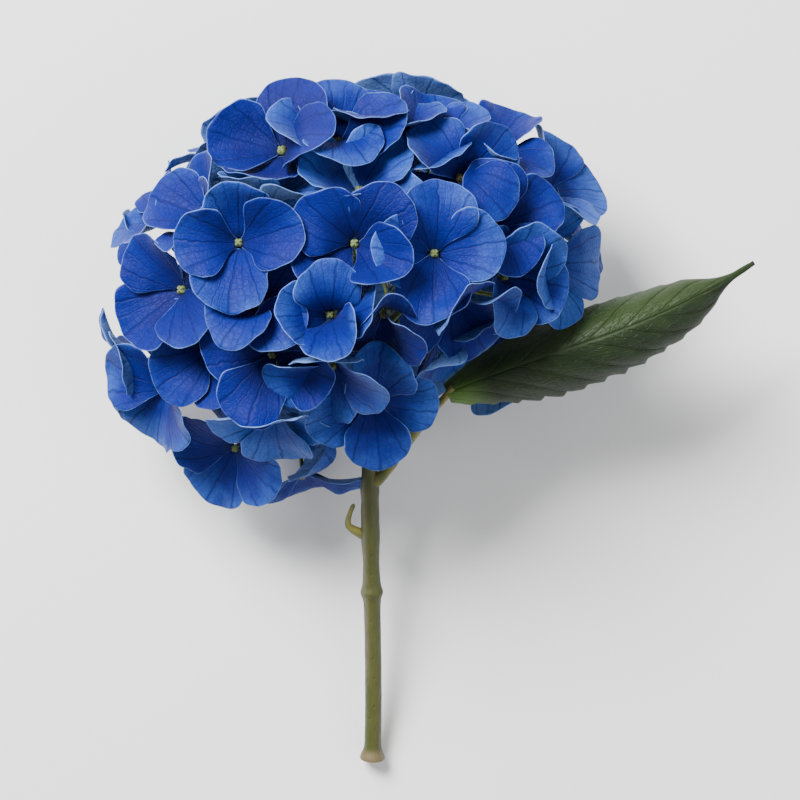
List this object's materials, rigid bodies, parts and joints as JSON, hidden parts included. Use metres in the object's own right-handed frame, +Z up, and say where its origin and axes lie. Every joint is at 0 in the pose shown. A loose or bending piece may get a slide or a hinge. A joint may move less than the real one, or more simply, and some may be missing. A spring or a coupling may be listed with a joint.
{
  "type": "cut hydrangea",
  "caption": "Cut mophead hydrangea: a domed head of blue four-sepalled florets on one stem with a single drooping leaf, laid on its side for display or an arrangement.",
  "frame": {"origin": "under the middle of the whole flower, on the surface it lies on", "axes": "+Z up from the surface, +Y along the stem towards the crown of the head, +X across the head towards the leaf's tip"},
  "size_m": [0.2478, 0.2672, 0.1321],
  "materials": {
    "sepal": "soft velvety matte, with paler veined backs",
    "stalk": "satin",
    "stem": "satin",
    "petiole": "satin",
    "leaf": "satin, with raised veins"
  },
  "bodies": {
    "root": {"stem": "stem", "side_shoot": "stem", "leaf_petiole": "petiole", "leaf_blade": "leaf", "ray_1": "stalk", "ray_2": "stalk", "ray_3": "stalk", "ray_4": "stalk", "ray_5": "stalk", "ray_6": "stalk", "floret_01": "sepal", "floret_02": "sepal", "floret_03": "sepal", "floret_04": "sepal", "floret_05": "sepal", "floret_06": "sepal", "floret_07": "sepal", "floret_08": "sepal", "floret_09": "sepal", "floret_10": "sepal", "floret_11": "sepal", "floret_12": "sepal", "floret_13": "sepal", "floret_14": "sepal", "floret_15": "sepal", "floret_16": "sepal", "floret_17": "sepal", "floret_18": "sepal", "floret_19": "sepal", "floret_20": "sepal", "floret_21": "sepal", "floret_22": "sepal", "floret_23": "sepal", "floret_24": "sepal", "floret_25": "sepal", "floret_26": "sepal", "floret_27": "sepal", "floret_28": "sepal", "floret_29": "sepal", "floret_30": "sepal", "floret_31": "sepal", "floret_32": "sepal", "floret_33": "sepal", "floret_34": "sepal", "floret_35": "sepal", "floret_36": "sepal", "floret_37": "sepal", "floret_38": "sepal", "floret_39": "sepal", "floret_40": "sepal", "floret_41": "sepal", "floret_42": "sepal", "floret_43": "sepal", "floret_44": "sepal", "floret_45": "sepal", "floret_46": "sepal", "floret_47": "sepal", "floret_48": "sepal"}
  },
  "joints": []
}
